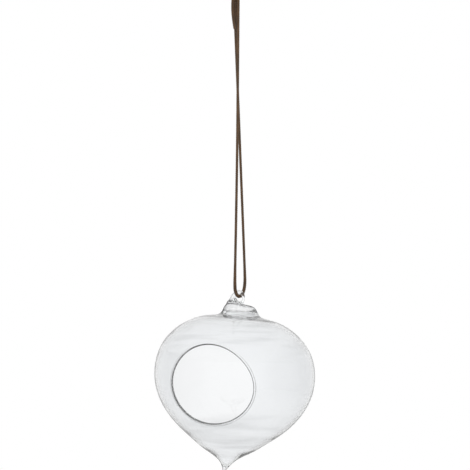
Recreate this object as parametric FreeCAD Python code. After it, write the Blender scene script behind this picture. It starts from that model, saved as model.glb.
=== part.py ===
import FreeCAD, Part

import math
import os

os.makedirs("parts", exist_ok=True)

Vector = FreeCAD.Vector

# A mouth-blown glass vase that hangs by one waxed cotton cord. All lengths are millimetres.
# Origin: inside the top of the hanging loop, where the hook carries it. +Z is up, +X is to the right
# seen from the front, and +Y points away from the viewer.

# Glass bulb, measured in its own frame: Z is its axis, height 0 its widest level
bulb_radius = 59.7
shoulder_height = 43.7
belly_depth = 71.7
wall = 1.4
shoulder_shares = (
    (0.982, 0.229),
    (0.922, 0.458),
    (0.794, 0.687),
    (0.590, 0.883),
    (0.440, 0.958),
    (0.325, 0.987),
)
belly_shares = (
    (0.982, 0.138),
    (0.925, 0.276),
    (0.824, 0.414),
    (0.672, 0.552),
    (0.462, 0.690),
    (0.290, 0.790),
    (0.166, 0.862),
    (0.092, 0.917),
)

# Drawn tip: solid glass below the inside, ending in a rounded nub
nub_radius = 1.7
tip_glass = 11.7
tip_floor_radius = 5.0

# Closed neck: its sides flare into the shoulder, its top is the seat of the eye's foot
neck_foot_radius = 16.6
neck_top_radius = 12.4
neck_height = 4.6
neck_flare_shares = ((0.23, 0.67), (0.50, 0.28), (0.78, 0.08))
ceiling_radius = 10.2
ceiling_glass = 1.4

# Mouth in the side, a little out of round, with a fire-polished rim. Its shares of the mean radius
# go round the mouth from its left side over its top.
mouth_radius = 30.1
mouth_shares = (1.049, 1.030, 1.003, 0.961, 0.948, 0.990, 1.033, 1.005, 0.964, 0.964, 1.011, 1.046)
mouth_turn = 17.4
mouth_drop = 6.1
rim_radius = 0.95
rim_points = 32
rim_steps = 12

# Applied eye: a foot fused on the neck, drawn up into a horn that curls over and closes on the foot
foot_height = 4.25
foot_shares = ((0.93, 0.31), (0.83, 0.60), (0.64, 0.81), (0.24, 0.965))
horn_height = 8.35
horn_shares = (
    (-0.335, 0.00, 0.65),
    (-0.40, 0.30, 0.573),
    (-0.46, 0.515, 0.46),
    (-0.495, 0.632, 0.387),
    (-0.54, 0.814, 0.27),
    (-0.58, 1.00, 0.115),
)
rod_radius = 1.7
eye_rise = 9.4
eye_top_height = 12.7
eye_top_offset = -2.32
eye_turn = 25.0
eye_shares = (
    (-0.45, 0.68, 1.10),
    (-0.52, 0.48, 1.12),
    (-0.429, 0.345, 1.06),
    (-0.247, 0.122, 1.01),
    (0.00, 0.00, 1.00),
    (0.20, 0.045, 0.88),
    (0.345, 0.20, 0.65),
    (0.405, 0.48, 0.54),
    (0.325, 0.75, 0.60),
    (0.155, 0.89, 0.91),
)
loft_steps = 4

# How the bulb hangs: its top leans to the right and away from the viewer
lean_right = 5.25
lean_back = 1.4

# Cord: one length of waxed cotton
cord_radius = 0.8
hook_radius = 3.0
knot_radius = 3.3
knot_core_share = 0.97
knot_turn_tilt = 24.0
moving_gap = 0.3
seat_gap = 0.15

# Routes of the cord's stretches, chosen by hand
knot_centre = (-0.3, 0.0, -26.0)
left_strand_route = (
    (1.2, -0.6, -27.4),
    (0.8, -1.9, -86.0),
    (0.3, -3.5, -144.0),
    (-0.5, -4.9, -195.0),
    (-1.45, -6.1, -241.8),
)
bight_route = (
    (-1.45, -6.1, -242.15),
    (-1.5, -5.9, -247.6),
    (-1.3, -5.25, -253.1),
    (0.5, -2.95, -256.65),
    (3.2, 0.7, -256.65),
    (5.2, 3.15, -253.2),
    (5.98, 3.85, -247.6),
    (6.05, 4.0, -242.15),
)
right_strand_route = (
    (6.05, 4.0, -241.8),
    (-2.33, 0.5, -27.4),
)
short_tail_route = (
    (-1.9, -1.5, -27.4),
    (-2.9, -1.7, -33.5),
    (-3.4, -1.7, -41.0),
    (-3.0, -1.6, -49.5),
    (-2.2, -1.5, -57.5),
)
long_tail_route = (
    (-0.4, 1.4, -27.4),
    (-0.55, 2.3, -35.5),
    (-0.35, 2.5, -47.5),
    (-0.45, 2.75, -60.0),
    (-0.3, 2.9, -72.0),
)
arc_share = 0.45

# Cuts run past the glass by this much
overrun = 5.0


def unit(vector):
    """Vector of length one along the given one."""
    return vector * (1.0 / vector.Length)


def circle_wire(centre, along, radius):
    """Closed circle round centre, square to along."""
    return Part.Wire(Part.Circle(centre, along, radius).toShape())


def tube(route, radius, name):
    """Round tube along straight runs joined by tangent arcs, each as large as its runs allow."""
    points = [Vector(*p) for p in route]
    edges = []
    radii = []
    start = points[0]
    for before, corner, after in zip(points, points[1:], points[2:]):
        towards = unit(before - corner)
        away = unit(after - corner)
        half_turn = (math.pi - towards.getAngle(away)) / 2
        cut = arc_share * min((before - corner).Length, (after - corner).Length)
        arc_radius = cut / math.tan(half_turn)
        middle = unit(towards + away)
        arc_centre = corner + middle * (arc_radius / math.cos(half_turn))
        arc_start = corner + towards * cut
        arc_end = corner + away * cut
        edges.append(Part.LineSegment(start, arc_start).toShape())
        edges.append(Part.Arc(arc_start, arc_centre - middle * arc_radius, arc_end).toShape())
        radii.append(round(arc_radius, 1))
        start = arc_end
    edges.append(Part.LineSegment(start, points[-1]).toShape())
    path = Part.Wire(edges)
    section = circle_wire(points[0], points[1] - points[0], radius)
    solid = path.makePipeShell([section], True, False)
    expected = math.pi * radius ** 2 * path.Length
    print(f"{name}: length {path.Length:.1f}, arc radii {radii}, volume ratio {solid.Volume / expected:.4f}")
    return solid


def spline(points):
    """Smooth edge through the given (radius, height) points of a section."""
    curve = Part.BSplineCurve()
    curve.interpolate([Vector(r, 0, h) for r, h in points])
    return curve.toShape()


def line(start, end):
    """Straight edge between two (radius, height) points of a section."""
    return Part.LineSegment(Vector(start[0], 0, start[1]), Vector(end[0], 0, end[1])).toShape()


def turned(edges):
    """Solid of revolution of a closed section about the bulb's axis."""
    face = Part.Face(Part.Wire(edges))
    return face.revolve(Vector(0, 0, 0), Vector(0, 0, 1), 360)


def set_in(points, depth):
    """The points of an outline, moved inwards along its normals by the given depth."""
    moved = []
    for before, here, after in zip(points, points[1:], points[2:]):
        along = Vector(after[0] - before[0], 0, after[1] - before[1])
        inwards = unit(Vector(along.z, 0, -along.x))
        moved.append((here[0] + inwards.x * depth, here[1] + inwards.z * depth))
    return moved


neck_top = shoulder_height + neck_height


def neck_points():
    """Outline of the flared neck, from its top down to its foot."""
    flare = neck_foot_radius - neck_top_radius
    points = [(neck_top_radius, neck_top)]
    points += [(neck_top_radius + flare * r, shoulder_height + neck_height * h) for r, h in neck_flare_shares]
    return points + [(neck_foot_radius, shoulder_height)]


def body_points():
    """Outline of the bulb, from the neck's foot down to the nub at its tip."""
    shoulder = [(bulb_radius * r, shoulder_height * h) for r, h in reversed(shoulder_shares)]
    belly = [(bulb_radius * r, -belly_depth * h) for r, h in belly_shares]
    nub = (nub_radius, nub_radius - belly_depth)
    return shoulder + [(bulb_radius, 0)] + belly + [nub]


def bulb_outside():
    """Solid bulb with its neck and drawn tip."""
    outline = neck_points() + body_points()
    nub = outline[-1]
    diagonal = nub_radius * math.sqrt(0.5)
    end = Vector(0, 0, -belly_depth)
    mid = Vector(diagonal, 0, nub[1] - diagonal)
    nub_arc = Part.Arc(Vector(nub[0], 0, nub[1]), mid, end).toShape()
    top = (0, neck_top)
    return turned([line(top, outline[0]), spline(outline), nub_arc, line((0, -belly_depth), top)])


def bulb_inside():
    """Hollow of the bulb: a wall's depth inside the outline, flat under the neck, round above the tip."""
    ceiling = neck_top - ceiling_glass
    floor = tip_glass - belly_depth
    wall_points = set_in(neck_points() + body_points(), wall)
    inner = [(ceiling_radius, ceiling)]
    inner += [p for p in wall_points if p[1] > floor and p[0] > tip_floor_radius]
    inner.append((tip_floor_radius * math.sqrt(0.5), floor + tip_floor_radius * (1 - math.sqrt(0.5))))
    inner.append((0, floor))
    return turned([line((0, ceiling), inner[0]), spline(inner), line(inner[-1], (0, ceiling))])


def mouth_direction():
    """Direction from the bulb's centre through the middle of its mouth."""
    turn = math.radians(mouth_turn)
    drop = math.radians(mouth_drop)
    return Vector(-math.sin(turn) * math.cos(drop), -math.cos(turn) * math.cos(drop), -math.sin(drop))


def wall_radius_at(height):
    """Radius of the middle of the bulb's wall at a height, on the bulb's outline."""
    outline = [neck_points()[-1]] + body_points()
    middle = spline(set_in(outline, wall / 2))
    level = Part.Plane(Vector(0, 0, height), Vector(0, 0, 1))
    crossings = middle.Curve.intersect(level)[0]
    return max(point.X for point in crossings)


def mouth_plan():
    """Closed outline of the mouth, in a plane through the bulb's centre."""
    out = mouth_direction()
    left = unit(out.cross(Vector(0, 0, 1)))
    up = left.cross(out)
    points = []
    for i, share in enumerate(mouth_shares):
        angle = 2 * math.pi * i / len(mouth_shares)
        points.append((left * math.cos(angle) + up * math.sin(angle)) * (mouth_radius * share))
    curve = Part.BSplineCurve()
    curve.interpolate(points, PeriodicFlag=True)
    return curve


def rim_path():
    """The mouth's outline laid on the bulb, in the middle of the glass."""
    plan = mouth_plan()
    out = mouth_direction()
    points = []
    for i in range(rim_points):
        share = i / rim_points
        ray = plan.value(plan.FirstParameter + (plan.LastParameter - plan.FirstParameter) * share)
        reach = bulb_radius
        for _ in range(rim_steps):
            point = ray + out * reach
            reach += wall_radius_at(point.z) - math.hypot(point.x, point.y)
        points.append(ray + out * reach)
    curve = Part.BSplineCurve()
    curve.interpolate(points, PeriodicFlag=True)
    return curve


def glass_bulb():
    """Bulb, hollowed, with its mouth cut through the side and its rim rounded."""
    shell = bulb_outside().cut(bulb_inside())
    plan = Part.Face(Part.Wire(mouth_plan().toShape()))
    cutter = plan.extrude(mouth_direction() * (bulb_radius + overrun))
    path = rim_path()
    ends = (path.FirstParameter, (path.FirstParameter + path.LastParameter) / 2, path.LastParameter)
    halves = []
    for start, end in zip(ends, ends[1:]):
        section = circle_wire(path.value(start), path.tangent(start)[0], rim_radius)
        halves.append(Part.Wire(path.toShape(start, end)).makePipeShell([section], True, False))
    return shell.cut(cutter).fuse(halves[0].fuse(halves[1]))


def eye_direction():
    """Level direction of the eye's loop, in the bulb's frame."""
    turn = math.radians(eye_turn)
    return Vector(math.cos(turn), -math.sin(turn), 0)


def eye_top():
    """Middle of the rod at the top of the eye, in the bulb's frame."""
    return eye_direction() * eye_top_offset + Vector(0, 0, neck_top + eye_top_height)


def eye_foot():
    """Domed foot on the neck."""
    outline = [(neck_top_radius, neck_top)]
    outline += [(neck_top_radius * r, neck_top + foot_height * h) for r, h in foot_shares]
    outline.append((0, neck_top + foot_height))
    return turned([line((0, neck_top), outline[0]), spline(outline), line(outline[-1], (0, neck_top))])


def eye_horn():
    """Glass drawn up out of the foot, narrowing to the rod."""
    sections = []
    for offset, height, radius in horn_shares:
        centre = eye_direction() * (neck_top_radius * offset) + Vector(0, 0, neck_top + horn_height * height)
        sections.append(circle_wire(centre, Vector(0, 0, 1), neck_top_radius * radius))
    return Part.makeLoft(sections, True, False)


def eye_rod():
    """Rod that leaves the horn, curls over and comes down on the foot, thinner as it goes."""
    along = eye_direction()
    stations = [eye_top() + along * (eye_rise * q) - Vector(0, 0, eye_rise * h) for q, h, _ in eye_shares]
    curve = Part.BSplineCurve()
    curve.interpolate(stations)
    params = [curve.parameter(p) for p in stations]
    radii = [rod_radius * share for _, _, share in eye_shares]
    sections = []
    for i in range((len(params) - 1) * loft_steps + 1):
        k = min(i // loft_steps, len(params) - 2)
        part = i / loft_steps - k
        at = params[k] + (params[k + 1] - params[k]) * part
        radius = radii[k] + (radii[k + 1] - radii[k]) * part
        sections.append(circle_wire(curve.value(at), curve.tangent(at)[0], radius))
    rod = Part.makeLoft(sections, True, False)
    return rod.fuse(Part.makeSphere(radii[-1], stations[-1]))


def glass_eye():
    """Foot on the neck with the horn and the curled rod drawn out of it."""
    below = Part.makeCylinder(bulb_radius, eye_rise + overrun, Vector(0, 0, neck_top), Vector(0, 0, -1))
    return eye_foot().fuse([eye_horn(), eye_rod()]).cut(below)


def hang(shape):
    """Leans a glass piece and hangs it with the top of its eye on the cord's bight."""
    low = min(p[2] for p in bight_route)
    at_low = [p for p in bight_route if p[2] == low]
    x = sum(p[0] for p in at_low) / len(at_low)
    y = sum(p[1] for p in at_low) / len(at_low)
    rod_centre = Vector(x, y, low + cord_radius + seat_gap + rod_radius)
    lean = FreeCAD.Rotation(Vector(1, 0, 0), -lean_back) * FreeCAD.Rotation(Vector(0, 1, 0), lean_right)
    placement = FreeCAD.Placement(rod_centre - lean.multVec(eye_top()), lean)
    hung = shape.copy()
    hung.Placement = placement.multiply(hung.Placement)
    return hung


turn_radius = hook_radius + cord_radius


def hook_turn():
    """The cord's half turn over the hook, ending just above the legs' round tops."""
    centre = Vector(0, 0, -hook_radius)
    short = math.asin((cord_radius + moving_gap) / turn_radius)
    ends = [
        centre + Vector(side * turn_radius * math.cos(short), 0, turn_radius * math.sin(short)) for side in (-1, 1)
    ]
    path = Part.Wire(Part.Arc(ends[0], Vector(0, 0, cord_radius), ends[1]).toShape())
    along = Vector(math.sin(short), 0, math.cos(short))
    return path.makePipeShell([circle_wire(ends[0], along, cord_radius)], True, False)


def loop_leg(side):
    """One leg of the hanging loop, from its round top at the hook down to the knot."""
    top = Vector(side * turn_radius, 0, -hook_radius)
    centre = Vector(*knot_centre)
    entry = centre + Vector(side * cord_radius, 0, 0)
    down = unit(entry - top)
    foot = entry - down * (knot_radius + seat_gap)
    length = (foot - top).Length
    return Part.makeCylinder(cord_radius, length, top, down).fuse(Part.makeSphere(cord_radius, top))


def knot():
    """Round knot: a core with two crossing turns of cord round it."""
    centre = Vector(*knot_centre)
    body = Part.makeSphere(knot_radius * knot_core_share, centre)
    for tilt in (-knot_turn_tilt, knot_turn_tilt):
        lean = FreeCAD.Rotation(Vector(0, 1, 0), tilt)
        turn = Part.makeTorus(knot_radius - cord_radius, cord_radius, centre, lean.multVec(Vector(0, 0, 1)))
        body = body.fuse(turn)
    return body


def save(name, shape):
    """Writes one node's STEP file."""
    shape.exportStep(f"parts/{name}.step")
    print(f"{name}: {len(shape.Solids)} solids, volume {shape.Volume:.1f}, valid {shape.isValid()}")


save("glass_bulb", hang(glass_bulb()))
save("glass_eye", hang(glass_eye()))
save("hook_turn", hook_turn())
save("loop_legs", Part.makeCompound([loop_leg(-1), loop_leg(1)]))
save("cord_knot", knot())
save("left_strand", tube(left_strand_route, cord_radius, "left_strand"))
save("right_strand", tube(right_strand_route, cord_radius, "right_strand"))
save("cord_bight", tube(bight_route, cord_radius, "cord_bight"))
save("short_tail", tube(short_tail_route, cord_radius, "short_tail"))
save("long_tail", tube(long_tail_route, cord_radius, "long_tail"))
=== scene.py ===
import math

import bmesh
import bpy
import numpy as np
from mathutils import Matrix, Vector
from mathutils.kdtree import KDTree


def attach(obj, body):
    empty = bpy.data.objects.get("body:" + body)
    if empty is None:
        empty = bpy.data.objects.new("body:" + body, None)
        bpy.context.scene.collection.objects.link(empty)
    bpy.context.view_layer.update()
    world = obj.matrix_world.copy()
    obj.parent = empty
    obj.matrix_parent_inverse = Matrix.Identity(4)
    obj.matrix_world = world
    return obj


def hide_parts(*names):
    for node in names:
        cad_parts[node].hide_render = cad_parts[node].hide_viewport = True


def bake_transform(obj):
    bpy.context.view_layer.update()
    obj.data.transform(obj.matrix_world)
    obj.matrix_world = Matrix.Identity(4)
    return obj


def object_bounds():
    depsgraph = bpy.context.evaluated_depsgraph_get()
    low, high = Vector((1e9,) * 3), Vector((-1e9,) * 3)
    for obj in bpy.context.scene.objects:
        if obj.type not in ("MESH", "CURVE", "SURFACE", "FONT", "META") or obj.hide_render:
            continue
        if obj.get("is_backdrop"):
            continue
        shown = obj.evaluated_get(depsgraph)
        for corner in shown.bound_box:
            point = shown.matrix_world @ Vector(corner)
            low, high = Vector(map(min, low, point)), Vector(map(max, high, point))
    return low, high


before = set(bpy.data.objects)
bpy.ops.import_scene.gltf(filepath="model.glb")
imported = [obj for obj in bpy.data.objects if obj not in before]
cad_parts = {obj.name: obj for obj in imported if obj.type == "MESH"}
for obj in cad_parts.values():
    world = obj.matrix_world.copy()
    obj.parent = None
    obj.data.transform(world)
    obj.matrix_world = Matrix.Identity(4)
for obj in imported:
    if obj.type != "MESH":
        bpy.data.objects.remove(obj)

bounds_at_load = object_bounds()

# A hanging vase of clear blown glass on one waxed cord. Lengths named here are millimetres, and meshes
# and cords are turned into metres when they are made. Origin: inside the top of the hanging loop, +Z up.
MM = 0.001

# Camera, and half the angle that its picture spans
camera_place = (-1.4, -1200.0, -211.3)
camera_half_view = 8.29

# Profile of the bulb in its own frame: Z is its axis, height 0 its widest level. The shares are of its
# radius and of its height above or depth below that level.
bulb_radius = 59.7
shoulder_height = 43.7
belly_depth = 71.7
wall = 1.4
shoulder_shares = (
    (0.325, 0.987), (0.440, 0.958), (0.590, 0.883), (0.794, 0.687), (0.922, 0.458), (0.982, 0.229),
)
belly_shares = (
    (0.982, 0.138), (0.925, 0.276), (0.824, 0.414), (0.672, 0.552),
    (0.462, 0.690), (0.290, 0.790), (0.151, 0.858), (0.077, 0.912),
)
nub_radius = 1.5
neck_top = 48.3
neck_points = ((13.55, 46.52), (14.50, 44.99), (15.76, 44.07), (17.10, 43.60))
tip_bend = 1.6
tip_bend_height = -62.0

# Inside of the bulb: thick glass under the crown and in the tip, and an even wall between them. It joins
# the even wall outside the two named radii.
ceiling_points = (
    (0.0, 46.9), (4.0, 46.9), (8.4, 46.86), (9.9, 46.45),
    (10.8, 45.45), (11.9, 43.9), (13.6, 42.75), (16.2, 42.20),
)
ceiling_reach = 17.5
tip_inside = ((16.4, -55.5), (8.15, -60.4), (3.6, -64.4), (1.9, -66.2), (0.8, -67.0), (0.0, -67.2))
tip_inside_reach = 18.5

# Samples of each span of the glass's curves, and of the round of its nub. The crown's samples are its
# rings, and the others are cut into cells.
outline_steps = 60
inside_steps = 30
nub_steps = 11
crown_steps = 6

# Cells of the glass: their number round the axis and their height, finer near the crown and the tip
around = 240
wall_cell = 1.25
neck_cell = 0.35
tip_cell = 0.45
ceiling_cell = 0.5
tip_inside_cell = 0.6
neck_cell_height = 42.5
tip_cell_height = -56.0

# Mouth: its mean radius, the shares of it that its outline has in its own plane, at even steps from its
# left side over its top, and the angles by which it faces to the left and down. It is cut from the wall
# between the heights of its zone, whose cells are eased out to a share of its radius. The back of the
# bulb counts as far away from it. Its border is evened, its cells are eased and each place is laid on
# the wall in that many rounds.
mouth_radius = 30.1
mouth_shares = (1.049, 1.030, 1.003, 0.961, 0.948, 0.990, 1.036, 1.012, 0.978, 0.984, 1.020, 1.046)
mouth_turn = 17.4
mouth_drop = 6.1
mouth_zone = (-50.0, 42.0)
eased_share = 1.28
eased_fade_share = 0.2
far_share = 9.0
even_rounds = 60
ease_rounds = 40
lay_rounds = 40

# Bead round the mouth, and the collar of even rings that carries it. The glass is marked as the bead's
# out to its reach, and its own look fades to the wall's over bead_fade, both from its middle line.
bead_radius = 0.79
bead_rounds = 20
collar_width = 1.0
collar_shares = (0.75, 0.5, 0.25, 0.0)
bead_reach = 1.7
bead_fade = (1.1, 1.8)

# Directions from the mouth's middle to its upper left, lower right and lower left, as (left, up)
bead_ways = ((0.64, 0.77), (-0.80, -0.60), (0.80, -0.60))

# Crown: an oblique cone of clear glass above the neck, drawn out into a rod that curls over. Its
# sections are (offset along the eye's direction, height above the neck's top, radius). They lie level
# low down and square to the rod higher up.
eye_turn = 25.0
eye_top_offset = -2.32
eye_top_height = 12.7
crown_sections = (
    (0.00, -1.78, 13.55), (-0.33, -0.60, 12.80), (-0.44, 0.04, 12.52), (-0.58, 0.77, 12.15),
    (-0.66, 1.32, 11.78), (-0.76, 2.00, 11.26), (-0.95, 2.58, 10.75), (-1.35, 3.02, 10.15),
    (-1.98, 3.46, 9.42), (-3.05, 3.80, 8.30), (-4.60, 4.12, 6.75), (-5.55, 4.62, 5.70),
    (-6.22, 5.28, 4.78), (-6.72, 6.50, 3.55), (-7.02, 7.50, 2.62), (-7.15, 8.50, 2.05),
    (-6.40, 9.85, 1.82), (-4.64, 11.65, 1.62), (-2.32, 12.85, 1.50), (-0.44, 12.35, 1.40),
    (0.92, 10.82, 1.12), (1.49, 8.19, 0.92), (1.00, 6.30, 1.02), (0.45, 5.40, 1.15),
)
crown_turn_heights = (5.5, 9.0)

# Drop of glass that fuses the rod's end on the crown, as (offset, height) and radius, and the melt of its
# seam. Points closer than merge_gap are one, and points off the old ones by more than seam_gap are new.
drop_place = (-0.25, 4.95)
drop_radius = 1.50
merge_gap = 0.0002
seam_gap = 0.002
melt_reach = 0.45
melt_rounds = 8
sharpest_smooth_edge = 32.0

# How the bulb hangs
lean_right = 5.25
lean_back = 1.4
eye_place = (1.85, -1.125, -254.0)

# Routes of the cord: down the left strand, through the eye and up the right strand, and from the knot
# down to each cut end
cord_radius = 0.8
left_strand_route = (
    (1.2, -0.6, -27.4), (0.8, -1.9, -86.0), (0.3, -3.5, -144.0), (-0.5, -4.9, -195.0), (-1.45, -6.1, -242.0),
)
bight_route = (
    (-1.5, -5.9, -247.6), (-1.3, -5.25, -253.1), (0.5, -2.95, -256.9),
    (3.2, 0.7, -256.9), (5.2, 3.15, -253.2), (5.98, 3.85, -247.6),
)
right_strand_route = ((6.05, 4.0, -242.0), (3.3, 2.85, -171.5), (0.4, 1.64, -97.4), (-2.33, 0.5, -27.4))
short_tail_route = (
    (-1.9, -1.5, -27.4), (-2.9, -1.7, -33.5), (-3.4, -1.7, -41.0), (-3.0, -1.7, -49.5), (-1.6, -1.9, -58.2),
)
long_tail_route = (
    (-0.4, 1.4, -27.4), (-0.55, 2.3, -35.5), (-0.35, 2.5, -47.5), (-0.45, 2.75, -60.0), (-0.3, 2.9, -72.0),
)

# Lay of the cord. The plies' shares are of the cord's own radius, which is drawn a little over size,
# because three round plies fill less than a full circle. It swells where it bears on the eye.
plies = 3
ply_sides = 12
lay_radius_share = 1.21
lay_pitch = 4.2
lay_cell = 0.5
ply_radius_share = 0.58
ply_offset_share = 0.50
swell_share = 0.34
swell_place = 232.0
swell_length = 32.0

# Hanging loop and knot
hook_radius = 3.0
hook_turn_share = 1.04
hook_turn_points = 7
loop_leg_left = (-2.2, 0, -14.0)
loop_leg_right = (2.0, 0, -14.0)
leg_below_hook = 1.5
leg_foot_half_gap = 0.9
leg_foot_height = 2.0
knot_centre = (-0.3, 0.0, -26.0)
knot_ring = 1.55
knot_wave = 0.75
knot_depth = 1.05
knot_points = 24

# Heights in the hanging frame at which the look of the glass changes
neck_fade = (-274.0, -266.0)
crown_fade = (-270.2, -268.2)
tip_fade = (-375.0, -370.0)
shoulder_streaks = (-305.0, -285.0)
belly_streaks = (-345.0, -362.0)

# Settings that many nodes share
multiply = {"operation": "MULTIPLY"}
multiply_add = {"operation": "MULTIPLY_ADD"}
largest = {"operation": "MAXIMUM"}
smoothed = {"interpolation_type": "SMOOTHSTEP"}
colours = {"data_type": "RGBA"}


# Small helpers
def linear(code):
    """sRGB hex to linear RGBA."""
    out = []
    for i in (0, 2, 4):
        c = int(code[i:i + 2], 16) / 255
        out.append(c / 12.92 if c <= 0.04045 else ((c + 0.055) / 1.055) ** 2.4)
    return (*out, 1.0)


def plug(tree, made, **links):
    """Sets a node's inputs, by name or number, to a constant, a socket or another node's first output."""
    for name, value in links.items():
        key = int(name[1:]) if name[0] == "i" and name[1:].isdigit() else name.replace("_", " ")
        if isinstance(value, bpy.types.Node):
            value = value.outputs[0]
        if isinstance(value, bpy.types.NodeSocket):
            tree.links.new(value, made.inputs[key])
        else:
            made.inputs[key].default_value = value


def node(tree, kind, settings=None, **links):
    """Adds a node with its settings and links."""
    made = tree.nodes.new(kind)
    for name, value in (settings or {}).items():
        setattr(made, name, value)
    plug(tree, made, **links)
    return made


def add_object(name, data):
    """Object at the origin that shows some data."""
    made = bpy.data.objects.new(name, data)
    bpy.context.collection.objects.link(made)
    return made


def evaluated_mesh(obj):
    """Plain mesh of an object as its modifiers leave it."""
    return bpy.data.meshes.new_from_object(obj.evaluated_get(bpy.context.evaluated_depsgraph_get()))


def smooth_step(value, low, high):
    """0 below low, 1 above high."""
    t = min(max((value - low) / (high - low), 0.0), 1.0)
    return t * t * (3 - 2 * t)


def cubic(points, steps):
    """Smooth curve through points (natural cubic over chord length), steps samples per span."""
    p = np.array(points, float)
    t = np.concatenate([[0], np.cumsum(np.linalg.norm(np.diff(p, axis=0), axis=1))])
    n = len(p)
    h = np.diff(t)
    a = np.eye(n)
    b = np.zeros_like(p)
    for i in range(1, n - 1):
        a[i, i - 1:i + 2] = h[i - 1], 2 * (h[i - 1] + h[i]), h[i]
        b[i] = 6 * ((p[i + 1] - p[i]) / h[i] - (p[i] - p[i - 1]) / h[i - 1])
    m = np.linalg.solve(a, b)
    out = []
    for i in range(n - 1):
        count = steps + (1 if i == n - 2 else 0)
        for u in np.arange(count) / steps * h[i]:
            w = h[i] - u
            out.append(
                (m[i] * w ** 3 + m[i + 1] * u ** 3) / (6 * h[i])
                + (p[i] / h[i] - m[i] * h[i] / 6) * w + (p[i + 1] / h[i] - m[i + 1] * h[i] / 6) * u
            )
    return np.array(out)


def resample(curve, spacing):
    """Points along a polyline, spaced by a function of the point."""
    out = [curve[0]]
    rest = 0.0
    for before, after in zip(curve, curve[1:]):
        rest += np.linalg.norm(after - before) / spacing(before)
        if rest >= 1:
            out.append(after)
            rest = 0.0
    out[-1] = curve[-1]
    return np.array(out)


# Camera
def add_camera():
    """Level camera in front of the vase, at the height of the picture's middle."""
    data = bpy.data.cameras.new("camera")
    data.sensor_fit = "HORIZONTAL"
    data.sensor_width = 36.0
    data.lens = data.sensor_width / 2 / math.tan(math.radians(camera_half_view))
    data.clip_start = 0.05
    camera = add_object("camera", data)
    camera.location = [c * MM for c in camera_place]
    camera.rotation_euler = (math.radians(90), 0, 0)
    bpy.context.scene.camera = camera


# Glass bulb
def outer_profile():
    """Outline from the neck down to the tip, with a round nub at its end."""
    points = list(neck_points)
    points += [(bulb_radius * r, shoulder_height * h) for r, h in shoulder_shares]
    points += [(bulb_radius, 0.0)] + [(bulb_radius * r, -belly_depth * h) for r, h in belly_shares]
    points.append((nub_radius, nub_radius - belly_depth))
    turns = np.linspace(0, math.pi / 2, nub_steps + 1)[1:]
    nub = [(nub_radius * math.cos(t), nub_radius - belly_depth - nub_radius * math.sin(t)) for t in turns]
    return np.vstack([cubic(points, outline_steps), nub])


def outer_cell(point):
    """Height of the outside's cells at a point of the outline."""
    if point[1] > neck_cell_height:
        return neck_cell
    if point[1] < tip_cell_height:
        return tip_cell
    return wall_cell


def inside_lines(outer, first, last):
    """Inside of the bulb in three stretches: the ceiling, the even wall and the foot above the tip.

    The ceiling and the foot follow only some points of the even wall, so that their curves stay smooth.
    """
    along = np.gradient(outer, axis=0)
    along /= np.linalg.norm(along, axis=1)[:, None]
    offset = outer - np.stack([-along[:, 1], along[:, 0]], 1) * wall
    even = offset[first:last + 1]
    by_neck = [tuple(p) for p in offset[:first] if p[0] > ceiling_reach][::4]
    by_tip = [tuple(p) for p in offset[last + 1:] if p[0] > tip_inside_reach][::6]
    ceiling = cubic((*ceiling_points, *by_neck, tuple(even[0])), inside_steps)
    foot = cubic((tuple(even[-1]), *by_tip, *tip_inside), inside_steps)
    return resample(ceiling, lambda p: ceiling_cell)[:-1], even, resample(foot, lambda p: tip_inside_cell)[1:]


def revolve_point(r, z, i):
    """Point of the bulb at a radius and height, i cells round its axis."""
    a = 2 * math.pi * i / around
    return np.array((r * math.cos(a), r * math.sin(a), z))


def add_ring(points, r, z):
    """Level ring of points, as a list of their numbers."""
    start = len(points)
    points.extend(revolve_point(r, z, i) for i in range(around))
    return list(range(start, start + around))


def add_strip(faces, a, b):
    """Faces between two rings."""
    n = len(a)
    faces.extend((a[i], a[(i + 1) % n], b[(i + 1) % n], b[i]) for i in range(n))


def add_cap(points, faces, centre, ring):
    """Faces from a ring to a point on the axis."""
    points.append(np.array(centre))
    faces.extend((ring[i], ring[(i + 1) % around], len(points) - 1) for i in range(around))


def glass_body():
    """Bulb, crown and rod as one closed hollow mesh with the mouth's bead, and the bead's middle line."""
    outer = resample(outer_profile(), outer_cell)
    surface = outer[::-1, 1], outer[::-1, 0]
    zone = [k for k, p in enumerate(outer) if mouth_zone[0] < p[1] < mouth_zone[1]]
    first, last = zone[0], zone[-1]
    ceiling, even, foot = inside_lines(outer, first, last)

    points = []
    faces = []
    outer_rings = [add_ring(points, *p) for p in outer[:-1]]
    add_cap(points, faces, (0, 0, outer[-1][1]), outer_rings[-1])
    add_crown(points, faces, outer_rings[0])
    ceiling_rings = [add_ring(points, *p) for p in ceiling[1:]]
    inner_rings = [add_ring(points, *p) for p in even]
    foot_rings = [add_ring(points, *p) for p in foot[:-1]]
    add_cap(points, faces, (0, 0, ceiling[0][1]), ceiling_rings[0])
    add_cap(points, faces, (0, 0, foot[-1][1]), foot_rings[-1])
    for rings in (
        outer_rings[:first + 1], outer_rings[last:],
        ceiling_rings + [inner_rings[0]], [inner_rings[-1]] + foot_rings,
    ):
        for a, b in zip(rings, rings[1:]):
            add_strip(faces, a, b)
    bead_line = open_mouth(points, faces, outer_rings[first:last + 1], inner_rings, surface)

    used = sorted({v for f in faces for v in f})
    renumber = {v: k for k, v in enumerate(used)}
    mesh = bpy.data.meshes.new("glass")
    mesh.from_pydata(
        [tuple(float(c) * MM for c in points[v]) for v in used], [],
        [tuple(renumber[v] for v in f) for f in faces],
    )
    bm = bmesh.new()
    bm.from_mesh(mesh)
    bmesh.ops.recalc_face_normals(bm, faces=bm.faces)
    bm.to_mesh(mesh)
    bm.free()
    mesh.polygons.foreach_set("use_smooth", [True] * len(mesh.polygons))
    return add_object("glass", mesh), bead_line


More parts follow.
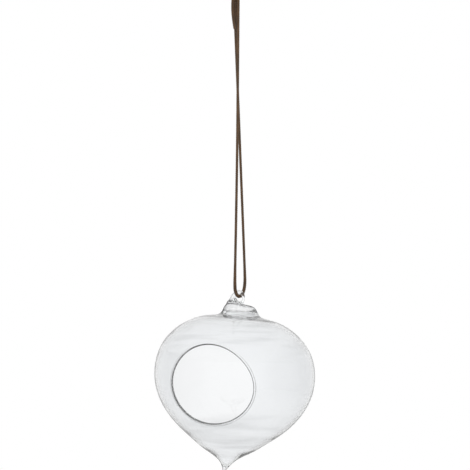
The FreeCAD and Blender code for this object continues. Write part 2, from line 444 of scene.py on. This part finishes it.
# Mouth
def mouth_axes():
    """Unit vectors of the mouth's plane: outwards, to the viewer's left, and up."""
    turn = math.radians(mouth_turn)
    drop = math.radians(mouth_drop)
    out = np.array((-math.sin(turn) * math.cos(drop), -math.cos(turn) * math.cos(drop), -math.sin(drop)))
    left = np.cross(out, (0, 0, 1))
    left /= np.linalg.norm(left)
    return out, left, np.cross(left, out)


mouth_out, mouth_left, mouth_up = mouth_axes()
mouth_waves = np.fft.rfft(mouth_shares) / len(mouth_shares)

# Angle of the bead's section at which the wall meets it, and how far out from its middle that is
bead_opening = math.asin(wall / 2 / bead_radius)
bead_edge = bead_radius * math.cos(bead_opening)


def mouth_outline(angle):
    """Radius of the mouth's outline at an angle of its plane, a smooth wave through the shares."""
    total = mouth_waves[0].real
    for m in range(1, len(mouth_waves)):
        wave = mouth_waves[m]
        scale = 1.0 if m == len(mouth_shares) // 2 else 2.0
        total += scale * (wave.real * math.cos(m * angle) - wave.imag * math.sin(m * angle))
    return mouth_radius * total


def by_mouth(angle, gap):
    """Place in the mouth's plane at an angle, a gap outside the outline."""
    return np.array((math.cos(angle), math.sin(angle))) * (mouth_outline(angle) + gap)


def lay_on(flat, surface):
    """Point of the bulb's outside in front of a place in the mouth's plane."""
    base = mouth_left * flat[0] + mouth_up * flat[1]
    reach = bulb_radius
    for _ in range(lay_rounds):
        p = base + mouth_out * reach
        reach += np.interp(p[2], *surface) - math.hypot(p[0], p[1])
    return base + mouth_out * reach


def surface_normal(p, surface):
    """Outward normal of the bulb's outside."""
    step = 0.4
    slope = (np.interp(p[2] + step, *surface) - np.interp(p[2] - step, *surface)) / (2 * step)
    r = math.hypot(p[0], p[1])
    n = np.array((p[0] / r, p[1] / r, -slope))
    return n / np.linalg.norm(n)


def cell_corners(cells):
    """Grid vertices at the corners of the marked cells."""
    beside = cells | np.roll(cells, 1, axis=1)
    out = np.zeros((len(cells) + 1, around), bool)
    out[:-1] |= beside
    out[1:] |= beside
    return out


def border_loop(kept):
    """Grid vertices round the mouth, in order."""
    step = {}
    for j, i in zip(*np.nonzero(~kept)):
        m = (i + 1) % around
        if kept[j - 1, i]:
            step[(j, i)] = (j, m)
        if kept[j, m]:
            step[(j, m)] = (j + 1, m)
        if kept[j + 1, i]:
            step[(j + 1, m)] = (j + 1, i)
        if kept[j, i - 1]:
            step[(j + 1, i)] = (j, i)
    loop = [next(iter(step))]
    while step[loop[-1]] != loop[0]:
        loop.append(step[loop[-1]])
    return loop


def even_turns(turns):
    """Angles round the mouth, evened out so that the border's cells have like widths."""
    turns = np.unwrap(turns)
    whole = 2 * math.pi * np.sign(turns[-1] - turns[0])
    for _ in range(even_rounds):
        before = np.append(turns[-1] - whole, turns[:-1])
        after = np.append(turns[1:], turns[0] + whole)
        turns = turns / 2 + (before + after) / 4
    return turns


def ease_grid(goal, free, q):
    """Smooths the free places of the grid, fully by the mouth and less towards the zone's outer share."""
    rows, cols = np.nonzero(free)
    share = np.clip((eased_share - q[rows, cols]) / eased_fade_share, 0, 1)[:, None]
    for _ in range(ease_rounds):
        mean = (np.roll(goal, 1, 1) + np.roll(goal, -1, 1)) / 4
        mean[1:-1] += (goal[2:] + goal[:-2]) / 4
        goal[rows, cols] += (mean[rows, cols] - goal[rows, cols]) * share


def open_mouth(points, faces, outer_rings, inner_rings, surface):
    """Both sides of the wall with the mouth left out, its collar and its bead. Returns the bead's line."""
    zone = np.array([[points[v] for v in ring] for ring in outer_rings])
    flat = np.stack([zone @ mouth_left, zone @ mouth_up], -1)
    angle = np.arctan2(flat[..., 1], flat[..., 0])

    # Cells whose middle lies inside the collar's outline are left out
    border_gap = bead_edge + collar_width
    q = np.hypot(flat[..., 0], flat[..., 1])
    q /= np.array([[mouth_outline(a) + border_gap for a in row] for row in angle])
    q[zone @ mouth_out <= 0] = far_share
    cells = (q[:-1] + q[1:]) / 2
    kept = (cells + np.roll(cells, -1, axis=1)) / 2 >= 1.0
    used = cell_corners(kept)
    border = used & cell_corners(~kept)

    # The grid's border goes on that outline, and the grid round it is eased
    goal = flat.copy()
    loop = border_loop(kept)
    turns = even_turns([angle[c] for c in loop])
    for c, a in zip(loop, turns):
        goal[c] = by_mouth(a, border_gap)
    free = used & ~border & (q < eased_share)
    ease_grid(goal, free, q)
    for j, i in zip(*np.nonzero(border | free)):
        at = lay_on(goal[j, i], surface)
        points[outer_rings[j][i]] = at
        points[inner_rings[j][i]] = at - surface_normal(at, surface) * wall
    for j, i in zip(*np.nonzero(kept)):
        n = (i + 1) % around
        faces.append((outer_rings[j][i], outer_rings[j][n], outer_rings[j + 1][n], outer_rings[j + 1][i]))
        faces.append((inner_rings[j][i], inner_rings[j + 1][i], inner_rings[j + 1][n], inner_rings[j][n]))

    # Collar of even rings from the border in to the bead
    outer_edge = [outer_rings[j][i] for j, i in loop]
    inner_edge = [inner_rings[j][i] for j, i in loop]
    for share in collar_shares:
        start = len(points)
        for a in turns:
            at = lay_on(by_mouth(a, bead_edge + collar_width * share), surface)
            points.extend((at, at - surface_normal(at, surface) * wall))
        outer_next = list(range(start, len(points), 2))
        inner_next = list(range(start + 1, len(points), 2))
        add_strip(faces, outer_edge, outer_next)
        add_strip(faces, inner_edge, inner_next)
        outer_edge, inner_edge = outer_next, inner_next
    return add_bead(points, faces, outer_edge, inner_edge, surface)


def add_bead(points, faces, outer_edge, inner_edge, surface):
    """Round bead between the mouth's two edges. Returns its middle line, with the direction away from it."""
    n = len(outer_edge)
    middles = [(points[o] + points[i]) / 2 for o, i in zip(outer_edge, inner_edge)]
    sections = []
    for k, middle in enumerate(middles):
        up = surface_normal(middle, surface)
        away = np.cross(middles[(k + 1) % n] - middles[k - 1], up)
        away /= np.linalg.norm(away)
        if away @ (middle - mouth_out * (middle @ mouth_out)) < 0:
            away = -away
        sections.append((middle - away * bead_edge, away, up))
    previous = outer_edge
    for a in np.linspace(bead_opening, 2 * math.pi - bead_opening, bead_rounds + 1)[1:-1]:
        ring = list(range(len(points), len(points) + n))
        for centre, away, up in sections:
            points.append(centre + (away * math.cos(a) + up * math.sin(a)) * bead_radius)
        add_strip(faces, previous, ring)
        previous = ring
    add_strip(faces, previous, inner_edge)
    return [(centre, away) for centre, away, _ in sections]


def mark_bead(obj, bead_line):
    """Attributes on the glass by the mouth, for its material.

    "painted_lip_line" is painted shade: above 0 on the bead's edge round the opening and, fainter, just
    outside the bead.
    "bead" is 1 on the bead and fades on the wall. "open side" is above 0 on the bead's lower left.
    The ramps of "painted_lip_line" run over shares of the bead's radius, outwards from its middle.
    """
    tree = KDTree(len(bead_line))
    for k, (place, _) in enumerate(bead_line):
        tree.insert(Vector(place) * MM, k)
    tree.balance()
    painted_lip_lines = []
    beads = []
    open_sides = []
    for v in obj.data.vertices:
        place, k, distance = tree.find(v.co)
        beads.append(1.0 - smooth_step(distance / MM, *bead_fade))
        if distance > bead_reach * MM:
            painted_lip_lines.append(0.0)
            open_sides.append(0.0)
            continue
        flat = np.array((np.dot(place, mouth_left), np.dot(place, mouth_up)))
        flat /= np.linalg.norm(flat)
        upper_left, lower_right, lower_left = (max(flat @ way, 0.0) for way in bead_ways)
        out = float(np.dot(v.co - place, bead_line[k][1])) / (bead_radius * MM)
        # The painted inner line is wider and a little darker at the upper left, and narrower and fainter at
        # the lower left. The fainter painted outer line is darkest at the lower right.
        low = 0.32 + 0.48 * lower_left - 0.20 * upper_left
        high = 0.72 + 0.25 * lower_left - 0.20 * upper_left
        inner = smooth_step(-out, low, high) * (0.93 + 0.05 * upper_left) * (1.0 - 0.55 * lower_left)
        outer = smooth_step(out, 0.80, 1.06) * (1.0 - smooth_step(out, 1.14, 1.38))
        painted_lip_lines.append(max(inner, outer * (0.15 + 0.75 * lower_right ** 0.5)))
        open_sides.append(beads[-1] * lower_left ** 0.5)
    for name, values in (("painted_lip_line", painted_lip_lines), ("bead", beads), ("open side", open_sides)):
        obj.data.attributes.new(name, "FLOAT", "POINT").data.foreach_set("value", values)


# Crown and eye
eye_heading = np.array((math.cos(math.radians(eye_turn)), -math.sin(math.radians(eye_turn)), 0))


def by_eye(offset, height):
    """Point over the axis, by its offset along the eye's direction and its height above the neck's top."""
    return eye_heading * offset + np.array((0, 0, neck_top + height))


def add_crown(points, faces, neck_ring):
    """Rings of the crown and its rod, from the neck's ring up and over to the rod's end."""
    rows = cubic(crown_sections, crown_steps)
    centres = np.array([by_eye(offset, height) for offset, height, _ in rows])
    along = np.gradient(centres, axis=0)
    lean = np.unwrap(np.arctan2(along @ eye_heading, along[:, 2]))
    axis = Vector((-eye_heading[1], eye_heading[0], 0))
    previous = neck_ring
    for k in range(1, len(rows)):
        top = rows[:k + 1, 1].max()
        tilt = np.array(Matrix.Rotation(lean[k] * smooth_step(top, *crown_turn_heights), 3, axis))
        ring = list(range(len(points), len(points) + around))
        points.extend(centres[k] + tilt @ revolve_point(rows[k][2], 0, i) for i in range(around))
        add_strip(faces, previous, ring)
        previous = ring
    add_cap(points, faces, centres[-1], previous)


def glass_drop():
    """Small drop that fuses the rod's end on the crown."""
    mesh = bpy.data.meshes.new("drop")
    bm = bmesh.new()
    bmesh.ops.create_icosphere(bm, subdivisions=5, radius=drop_radius * MM)
    bmesh.ops.translate(bm, verts=bm.verts, vec=Vector(by_eye(*drop_place)) * MM)
    bm.to_mesh(mesh)
    bm.free()
    return add_object("drop", mesh)


def join_drop(body, drop):
    """Fuses the drop with the body and melts the seam between them."""
    old = KDTree(len(body.data.vertices) + len(drop.data.vertices))
    for v in (*body.data.vertices, *drop.data.vertices):
        old.insert(v.co, v.index)
    old.balance()
    fuse = body.modifiers.new("fuse", "BOOLEAN")
    fuse.operation = "UNION"
    fuse.solver = "MANIFOLD"
    fuse.object = drop
    mesh = evaluated_mesh(body)
    body.modifiers.remove(fuse)
    body.data = mesh
    bpy.data.objects.remove(drop)

    # New points lie on the seam. Points on it and near it are smoothed, and only truly sharp edges stay so.
    bm = bmesh.new()
    bm.from_mesh(mesh)
    bmesh.ops.remove_doubles(bm, verts=bm.verts, dist=merge_gap * MM)
    seam = [v.co.copy() for v in bm.verts if old.find(v.co)[2] > seam_gap * MM]
    seam_tree = KDTree(len(seam))
    for k, co in enumerate(seam):
        seam_tree.insert(co, k)
    seam_tree.balance()
    near = [v for v in bm.verts if seam_tree.find(v.co)[2] < melt_reach * MM]
    bmesh.ops.triangulate(bm, faces=list({f for v in near for f in v.link_faces if len(f.verts) > 4}))
    for _ in range(melt_rounds):
        bmesh.ops.smooth_vert(bm, verts=near, factor=0.5, use_axis_x=True, use_axis_y=True, use_axis_z=True)
    bmesh.ops.recalc_face_normals(bm, faces=bm.faces)
    for f in bm.faces:
        f.smooth = True
    for e in bm.edges:
        e.smooth = e.calc_face_angle(0) < math.radians(sharpest_smooth_edge)
    bm.to_mesh(mesh)
    bm.free()
    mesh.name = "glass"


def bend_tip(obj):
    """The drawn tip leans a little to the left."""
    length = (belly_depth + tip_bend_height) * MM
    for v in obj.data.vertices:
        below = tip_bend_height * MM - v.co.z
        if below > 0:
            v.co.x -= tip_bend * MM * (below / length) ** 2


def hang(obj):
    """Leans the glass and hangs its eye on the cord."""
    top = Vector(by_eye(eye_top_offset, eye_top_height)) * MM
    back = Matrix.Rotation(math.radians(-lean_back), 4, "X")
    lean = back @ Matrix.Rotation(math.radians(lean_right), 4, "Y")
    obj.data.transform(Matrix.Translation(Vector(eye_place) * MM - lean @ top) @ lean)


def add_glass(finish):
    """The blown bulb with its fused eye, hung on the cord."""
    glass, bead_line = glass_body()
    join_drop(glass, glass_drop())
    mark_bead(glass, bead_line)
    bend_tip(glass)
    hang(glass)
    glass.data.materials.clear()
    glass.data.materials.append(finish)
    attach(glass, "vase")
    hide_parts("glass_bulb", "glass_eye")


# Cords
def route_curve(name, points, closed=False):
    """NURBS curve through a cord's route."""
    data = bpy.data.curves.new(name, "CURVE")
    data.dimensions = "3D"
    data.resolution_u = 24
    spline = data.splines.new("NURBS")
    spline.points.add(len(points) - 1)
    for k, p in enumerate(points):
        spline.points[k].co = (*(c * MM for c in p), 1.0)
    spline.order_u = 3
    spline.use_cyclic_u = closed
    spline.use_endpoint_u = not closed
    return add_object(name, data)


def route_line(curve):
    """Points along a curve, and their length together."""
    mesh = evaluated_mesh(curve)
    line = [v.co.copy() for v in mesh.vertices]
    bpy.data.meshes.remove(mesh)
    return line, round(sum((b - a).length for a, b in zip(line, line[1:])), 4)


def twisted_cord_group():
    """Geometry Nodes group: three plies laid round a path, with a thicker stretch."""
    group = bpy.data.node_groups.new("twisted cord", "GeometryNodeTree")
    face = group.interface
    face.new_socket("Geometry", in_out="INPUT", socket_type="NodeSocketGeometry")
    for name, value in (
        ("Radius", cord_radius * lay_radius_share), ("Pitch", lay_pitch), ("Spacing", lay_cell),
        ("Swell", 0.0), ("Swell Centre", 0.0), ("Swell Length", swell_length),
    ):
        socket = face.new_socket(name, in_out="INPUT", socket_type="NodeSocketFloat")
        socket.default_value = value * MM
    face.new_socket("Material", in_out="INPUT", socket_type="NodeSocketMaterial")
    face.new_socket("Geometry", in_out="OUTPUT", socket_type="NodeSocketGeometry")
    get = group.nodes.new("NodeGroupInput").outputs

    # Radius along the path. It is read before the plies move, while the path's length is still the cord's.
    even = node(
        group, "GeometryNodeResampleCurve", {"mode": "LENGTH"},
        Curve=get["Geometry"], Length=get["Spacing"],
    )
    place = group.nodes.new("GeometryNodeSplineParameter").outputs["Length"]
    away = node(group, "ShaderNodeMath", {"operation": "SUBTRACT"}, i0=place, i1=get["Swell Centre"])
    away = node(group, "ShaderNodeMath", {"operation": "ABSOLUTE"}, i0=away)
    near = node(
        group, "ShaderNodeMapRange", smoothed,
        Value=away, From_Min=0.0, From_Max=get["Swell Length"], To_Min=1.0, To_Max=0.0,
    )
    grown = node(group, "ShaderNodeMath", multiply_add, i0=near, i1=get["Swell"], i2=1.0)
    radius = node(group, "ShaderNodeMath", multiply, i0=get["Radius"], i1=grown)
    thickness = node(group, "ShaderNodeMath", multiply, i0=radius, i1=ply_radius_share)
    offset = node(group, "ShaderNodeMath", multiply, i0=radius, i1=ply_offset_share)
    sized = node(group, "GeometryNodeSetCurveRadius", None, Curve=even, Radius=thickness)

    # Each ply is the path moved sideways, by a direction that turns once in each pitch
    turns = node(group, "ShaderNodeMath", {"operation": "DIVIDE"}, i0=place, i1=get["Pitch"])
    tangent = group.nodes.new("GeometryNodeInputTangent")
    normal = group.nodes.new("GeometryNodeInputNormal")
    circle = node(
        group, "GeometryNodeCurvePrimitiveCircle", {"mode": "RADIUS"}, Resolution=ply_sides, Radius=1.0,
    )
    join = group.nodes.new("GeometryNodeJoinGeometry")
    for ply in range(plies):
        start = 2 * math.pi * ply / plies
        angle = node(group, "ShaderNodeMath", multiply_add, i0=turns, i1=2 * math.pi, i2=start)
        turned = node(
            group, "ShaderNodeVectorRotate", {"rotation_type": "AXIS_ANGLE"},
            Vector=normal, Axis=tangent, Angle=angle,
        )
        shift = node(group, "ShaderNodeVectorMath", {"operation": "SCALE"}, Vector=turned, Scale=offset)
        moved = node(group, "GeometryNodeSetPosition", None, Geometry=sized, Offset=shift)
        width = group.nodes.new("GeometryNodeInputRadius")
        skin = node(
            group, "GeometryNodeCurveToMesh", None,
            Curve=moved, Profile_Curve=circle, Scale=width, Fill_Caps=True,
        )
        group.links.new(skin.outputs[0], join.inputs[0])
    whole = node(group, "GeometryNodeRealizeInstances", None, Geometry=join)
    smooth = node(group, "GeometryNodeSetShadeSmooth", None, Geometry=whole)
    finish = node(group, "GeometryNodeSetMaterial", None, Geometry=smooth, Material=get["Material"])
    plug(group, group.nodes.new("NodeGroupOutput"), Geometry=finish)
    return group


def twisted_cord(name, curve, group, finish, **values):
    """Mesh of a laid cord along a curve."""
    modifier = curve.modifiers.new("lay", "NODES")
    modifier.node_group = group
    keys = {s.name: s.identifier for s in group.interface.items_tree if s.in_out == "INPUT"}
    modifier[keys["Material"]] = finish
    for key, value in values.items():
        modifier[keys[key.replace("_", " ")]] = value
    mesh = evaluated_mesh(curve)
    mesh.name = name
    bpy.data.objects.remove(curve)
    if not mesh.materials:
        mesh.materials.append(finish)
    return add_object(name, mesh)


def add_suspension(group, finish):
    """The long run of cord: down one strand, through the glass eye and up the other."""
    curve = route_curve("suspension_route", left_strand_route + bight_route + right_strand_route)
    path, length = route_line(curve)
    suspension = twisted_cord(
        "suspension_cord", curve, group, finish,
        Swell=swell_share, Swell_Centre=swell_place * MM, Swell_Length=swell_length * MM,
    )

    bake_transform(suspension)
    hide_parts("left_strand", "right_strand", "cord_bight")
    suspension.visible_glossy = False


def add_tail(name, route, group, finish):
    """A cut end of the cord that hangs from the knot."""
    curve = route_curve(name + "_route", route)
    path, length = route_line(curve)
    tail = twisted_cord(name + "_cord", curve, group, finish)
    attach(tail, "cord")
    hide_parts(name)


def add_knot(group, finish):
    """Overhand knot, drawn as a small trefoil of cord."""
    x, y, z = knot_centre
    route = []
    for t in np.linspace(0, 2 * math.pi, knot_points, endpoint=False):
        ring = knot_ring + knot_wave * math.cos(3 * t)
        across = y + knot_depth * math.sin(3 * t)
        route.append((x + ring * math.cos(2 * t), across, z + ring * math.sin(2 * t)))
    knot = twisted_cord("knot", route_curve("knot_route", route, closed=True), group, finish)
    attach(knot, "cord")
    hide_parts("cord_knot")


def add_loop(group, finish):
    """Hanging loop: up from the knot, over the hook and back down."""
    x, _, z = knot_centre
    reach = hook_radius + cord_radius
    bend = reach * hook_turn_share
    route = [(x - leg_foot_half_gap, 0, z + leg_foot_height), loop_leg_left]
    route.append((-reach, 0, -hook_radius - leg_below_hook))
    for a in np.linspace(math.pi, 0, hook_turn_points):
        route.append((bend * math.cos(a), 0, bend * math.sin(a) - hook_radius))
    route.append((reach, 0, -hook_radius - leg_below_hook))
    route += [loop_leg_right, (x + leg_foot_half_gap, 0, z + leg_foot_height)]
    curve = route_curve("loop_route", route)
    path, length = route_line(curve)
    loop = twisted_cord("hanging_loop_cord", curve, group, finish)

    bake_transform(loop)
    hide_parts("hook_turn", "loop_legs")


# Materials
def new_material(name):
    """Material with its node tree and its shader."""
    made = bpy.data.materials.new(name)
    made.use_nodes = True
    return made, made.node_tree, made.node_tree.nodes["Principled BSDF"]


def wall_tint(tree, place, zone):
    """Tint of the blown wall, with cords: long flat streaks where the gather was turned."""
    streak_length, streak_height = 75.76 * MM, 6.944 * MM
    bands = node(
        tree, "ShaderNodeMapping", None, Vector=place, Rotation=(0.0, -0.09, 0.0),
        Scale=(1 / streak_length, 1 / streak_length, 1 / streak_height),
    )
    cords = node(tree, "ShaderNodeTexNoise", None, Vector=bands, Scale=1.0, Detail=2.0, Roughness=0.5)
    streak = node(
        tree, "ShaderNodeMapRange", smoothed,
        Value=cords, From_Min=0.46, From_Max=0.70, To_Min=0.0, To_Max=1.0,
    )
    streak = node(tree, "ShaderNodeMath", multiply, i0=streak, i1=zone)
    tint = node(tree, "ShaderNodeMix", colours, i0=streak, i6=linear("F9FAFB"), i7=linear("E0E1E2"))
    return tint.outputs[2]


def painted_limb_shade(tree, tint, facing, blown):
    """Painted shade: greyer at a slant, and more so close to the outline, on the blown wall only."""
    narrow = node(tree, "ShaderNodeMath", {"operation": "POWER"}, i0=facing, i1=6.0)
    narrow = node(tree, "ShaderNodeMath", multiply, i0=narrow, i1=0.50)
    wide = node(tree, "ShaderNodeMath", {"operation": "POWER"}, i0=facing, i1=1.1)
    slant = node(tree, "ShaderNodeMath", multiply_add, i0=wide, i1=0.44, i2=narrow)
    painted_limb_mask = node(tree, "ShaderNodeMath", multiply, i0=slant, i1=blown)
    # The light grey is painted shade, mixed in where the wall is seen at a slant
    return node(tree, "ShaderNodeMix", colours, i0=painted_limb_mask, i6=tint, i7=linear("DADBDC")).outputs[2]


def painted_edge_shade(tree, tint, facing, across, thick):
    """Painted shade: a dark edge on the thick glass in the crown and the tip, darker on its left."""
    painted_edge_mask = node(
        tree, "ShaderNodeMapRange", smoothed,
        Value=facing, From_Min=0.50, From_Max=0.75, To_Min=0.0, To_Max=1.0,
    )
    # The painted edge shade is stronger on the left of the vase than on its right
    side = node(
        tree, "ShaderNodeMapRange", smoothed,
        Value=across, From_Min=-6.0 * MM, From_Max=3.0 * MM, To_Min=0.85, To_Max=0.40,
    )
    painted_edge_mask = node(tree, "ShaderNodeMath", multiply, i0=painted_edge_mask, i1=side)
    painted_edge_mask = node(tree, "ShaderNodeMath", multiply, i0=painted_edge_mask, i1=thick)
    # Near-black painted shade at the outline
    return node(tree, "ShaderNodeMix", colours, i0=painted_edge_mask, i6=tint, i7=linear("080808")).outputs[2]


def outline_index(tree, facing, solid):
    """Index of glass, lower at the outline of its solid parts, whose edge a pale room would turn white."""
    bend = node(
        tree, "ShaderNodeMapRange", smoothed,
        Value=facing, From_Min=0.58, From_Max=0.80, To_Min=0.0, To_Max=-0.48,
    )
    share = node(tree, "ShaderNodeMath", largest, i0=solid, i1=0.035)
    return node(tree, "ShaderNodeMath", multiply_add, i0=bend, i1=share, i2=1.5)


def wall_waves(tree, place, zone):
    """Waves of the blown wall, stronger in the zones with cords."""
    wave_length, wave_height = 68.03 * MM, 9.158 * MM
    stretch = node(
        tree, "ShaderNodeMapping", None, Vector=place,
        Scale=(1 / wave_length, 1 / wave_length, 1 / wave_height),
    )
    waves = node(tree, "ShaderNodeTexNoise", None, Vector=stretch, Scale=1.0, Detail=1.5, Roughness=0.45)
    strength = node(tree, "ShaderNodeMath", multiply_add, i0=zone, i1=0.35, i2=0.12)
    return node(tree, "ShaderNodeBump", None, Height=waves, Strength=strength, Distance=0.6 * MM)


def clear_glass():
    """Colourless mouth-blown soda-lime glass, fire-polished.

    It is clear and shiny all over, with faint cords on its shoulder and low on its belly. Painted shade makes
    it greyer where one looks along its wall and draws thin dark lines round its mouth, crown and tip.
    """
    made, tree, shader = new_material("clear blown glass")
    facing = node(tree, "ShaderNodeLayerWeight", None, Blend=0.5).outputs["Facing"]
    place = node(tree, "ShaderNodeTexCoord").outputs["Object"]
    axes = node(tree, "ShaderNodeSeparateXYZ", None, Vector=place).outputs
    painted_lip_line, bead, open_side = (
        node(tree, "ShaderNodeAttribute", {"attribute_name": name}).outputs["Fac"]
        for name in ("painted_lip_line", "bead", "open side")
    )
    below_neck, crown, tip, shoulder, belly = (
        node(
            tree, "ShaderNodeMapRange", smoothed, Value=axes["Z"],
            From_Min=low * MM, From_Max=high * MM, To_Min=at_low, To_Max=at_high,
        )
        for (low, high), at_low, at_high in (
            (neck_fade, 1.0, 0.0), (crown_fade, 0.0, 1.0), (tip_fade, 0.30, 0.0),
            (shoulder_streaks, 0.0, 1.0), (belly_streaks, 0.0, 1.0),
        )
    )
    zone = node(tree, "ShaderNodeMath", {"operation": "ADD"}, i0=shoulder, i1=belly)
    blown = node(tree, "ShaderNodeMath", {"operation": "SUBTRACT", "use_clamp": True}, i0=below_neck, i1=bead)
    above_neck = node(tree, "ShaderNodeMath", {"operation": "SUBTRACT"}, i0=1.0, i1=below_neck)
    # The crown and the tip, where the painted edge shade goes
    thick = node(tree, "ShaderNodeMath", largest, i0=above_neck, i1=tip)
    solid = node(tree, "ShaderNodeMath", largest, i0=crown, i1=tip)

    tint = wall_tint(tree, place, zone)
    tint = painted_limb_shade(tree, tint, facing, blown)
    tint = painted_edge_shade(tree, tint, facing, axes["X"], thick)
    # Painted shade: thin near-black lines round the mouth's bead
    tint = node(tree, "ShaderNodeMix", colours, i0=painted_lip_line, i6=tint, i7=linear("101010")).outputs[2]

    # The crown and the bead's lower left let a little light straight through, so they don't go black
    clear = node(tree, "ShaderNodeMath", multiply_add, i0=below_neck, i1=0.12, i2=0.88)
    clear = node(tree, "ShaderNodeMath", multiply_add, i0=open_side, i1=-0.30, i2=clear)
    plug(
        tree, shader, Base_Color=tint, Alpha=clear, Roughness=0.0, Transmission_Weight=1.0,
        IOR=outline_index(tree, facing, solid), Normal=wall_waves(tree, place, zone),
    )
    body = node(tree, "ShaderNodeVolumeAbsorption", None, Color=(0.5, 0.5, 0.5, 1.0), Density=6.0)
    plug(tree, tree.nodes["Material Output"], Volume=body)
    return made


def waxed_cord():
    """Dark brown twisted cotton, waxed: a low warm sheen, with slow and fine changes of brown."""
    made, tree, shader = new_material("waxed cotton cord")
    # The fine changes are drawn coarser than cotton's fibres, so that they show
    fibre, patch = 0.3846 * MM, 8.333 * MM
    place = node(tree, "ShaderNodeTexCoord").outputs["Object"]
    slow = node(tree, "ShaderNodeTexNoise", None, Vector=place, Scale=1 / patch, Detail=2.0)
    fine = node(tree, "ShaderNodeTexNoise", None, Vector=place, Scale=1 / fibre, Detail=2.0, Roughness=0.6)
    mix = node(tree, "ShaderNodeMath", multiply, i0=fine, i1=0.6)
    mix = node(tree, "ShaderNodeMath", multiply_add, i0=slow, i1=0.4, i2=mix)
    brown = node(tree, "ShaderNodeValToRGB", None, Fac=mix)
    for stop, place_on_ramp, code in zip(brown.color_ramp.elements, (0.36, 0.66), ("2C1F14", "5E432A")):
        stop.position = place_on_ramp
        stop.color = linear(code)
    bump = node(tree, "ShaderNodeBump", None, Height=fine, Strength=0.5, Distance=0.1 * MM)
    plug(tree, shader, Base_Color=brown, Specular_Tint=linear("FFF0DC"), Roughness=0.5, Normal=bump)
    return made


def matte_floor():
    """Pale matte paint, which fades into the surroundings far from the vase."""
    made, tree, shader = new_material("pale matte paint")
    place = node(tree, "ShaderNodeTexCoord").outputs["Object"]
    away = node(tree, "ShaderNodeVectorMath", {"operation": "LENGTH"}, Vector=place).outputs["Value"]
    fade = node(
        tree, "ShaderNodeMapRange", smoothed,
        Value=away, From_Min=1.3, From_Max=3.4, To_Min=1.0, To_Max=0.0,
    )
    plug(tree, shader, Base_Color=linear("E9E9E8"), Roughness=0.9, Alpha=fade)
    return made


# Studio
def add_floor():
    """Pale floor well below the hanging vase."""
    half, depth = 4.0, -1.1
    mesh = bpy.data.meshes.new("floor")
    corners = ((-half, -half), (half, -half), (half, half), (-half, half))
    mesh.from_pydata([(x, y, depth) for x, y in corners], [], [(0, 1, 2, 3)])
    mesh.materials.append(matte_floor())
    add_object("floor", mesh)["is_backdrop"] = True


def add_surroundings():
    """White behind the vase, and dimmer to both sides and below, which gives the glass its greys."""
    world = bpy.data.worlds.new("studio")
    world.use_nodes = True
    bpy.context.scene.world = world
    tree = world.node_tree
    direction = node(tree, "ShaderNodeTexCoord").outputs["Generated"]
    axes = node(tree, "ShaderNodeSeparateXYZ", None, Vector=direction).outputs
    back, right, left, low = (
        node(
            tree, "ShaderNodeMapRange", smoothed,
            Value=axes[axis], From_Min=start, From_Max=end, To_Min=at_start, To_Max=at_end,
        )
        for axis, start, end, at_start, at_end in (
            ("Y", 0.930, 0.974, 0.0, 1.0), ("X", 0.55, 0.92, 1.0, 0.62),
            ("X", -0.95, -0.65, 0.80, 1.0), ("Z", -0.85, -0.25, 0.75, 1.0),
        )
    )
    dim = node(tree, "ShaderNodeMath", multiply, i0=right, i1=left)
    dim = node(tree, "ShaderNodeMath", multiply, i0=dim, i1=low)
    dim = node(tree, "ShaderNodeMath", multiply, i0=dim, i1=0.97)
    level = node(tree, "ShaderNodeMix", {"data_type": "FLOAT"}, i0=back, i2=dim, i3=1.0)
    plug(tree, tree.nodes["Background"], Color=level, Strength=1.0)


def add_lamps():
    """Two soft lamps that only light the cord and the floor, because the glass doesn't mirror them."""
    for name, place, size, power in (
        ("key", (-1.0, -1.1, 0.7), 0.7, 9.0),
        ("fill", (1.2, -0.7, 0.2), 0.6, 4.0),
    ):
        data = bpy.data.lights.new(name, "AREA")
        data.size = size
        data.energy = power
        lamp = add_object(name, data)
        lamp.location = place
        lamp.visible_glossy = False
        lamp.visible_transmission = False
        aim = Vector((0, 0, -0.25)) - Vector(place)
        lamp.rotation_euler = aim.to_track_quat("-Z", "Y").to_euler()


add_camera()
glass_finish = clear_glass()
cord_finish = waxed_cord()
cord_lay = twisted_cord_group()
add_suspension(cord_lay, cord_finish)
add_tail("short_tail", short_tail_route, cord_lay, cord_finish)
add_tail("long_tail", long_tail_route, cord_lay, cord_finish)
add_knot(cord_lay, cord_finish)
add_loop(cord_lay, cord_finish)
add_glass(glass_finish)
add_floor()
add_surroundings()
add_lamps()
bpy.context.scene.view_settings.view_transform = "Standard"
bpy.context.scene.cycles.max_bounces = 40
bpy.context.scene.cycles.transmission_bounces = 40

bounds_at_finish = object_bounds()


def plain(value):
    """Vectors and arrays as lists."""
    if isinstance(value, dict):
        return {k: plain(v) for k, v in value.items()}
    if isinstance(value, (int, float, str)) or value is None:
        return value
    return [plain(v) for v in value]


{"load": plain(bounds_at_load), "finish": plain(bounds_at_finish)}
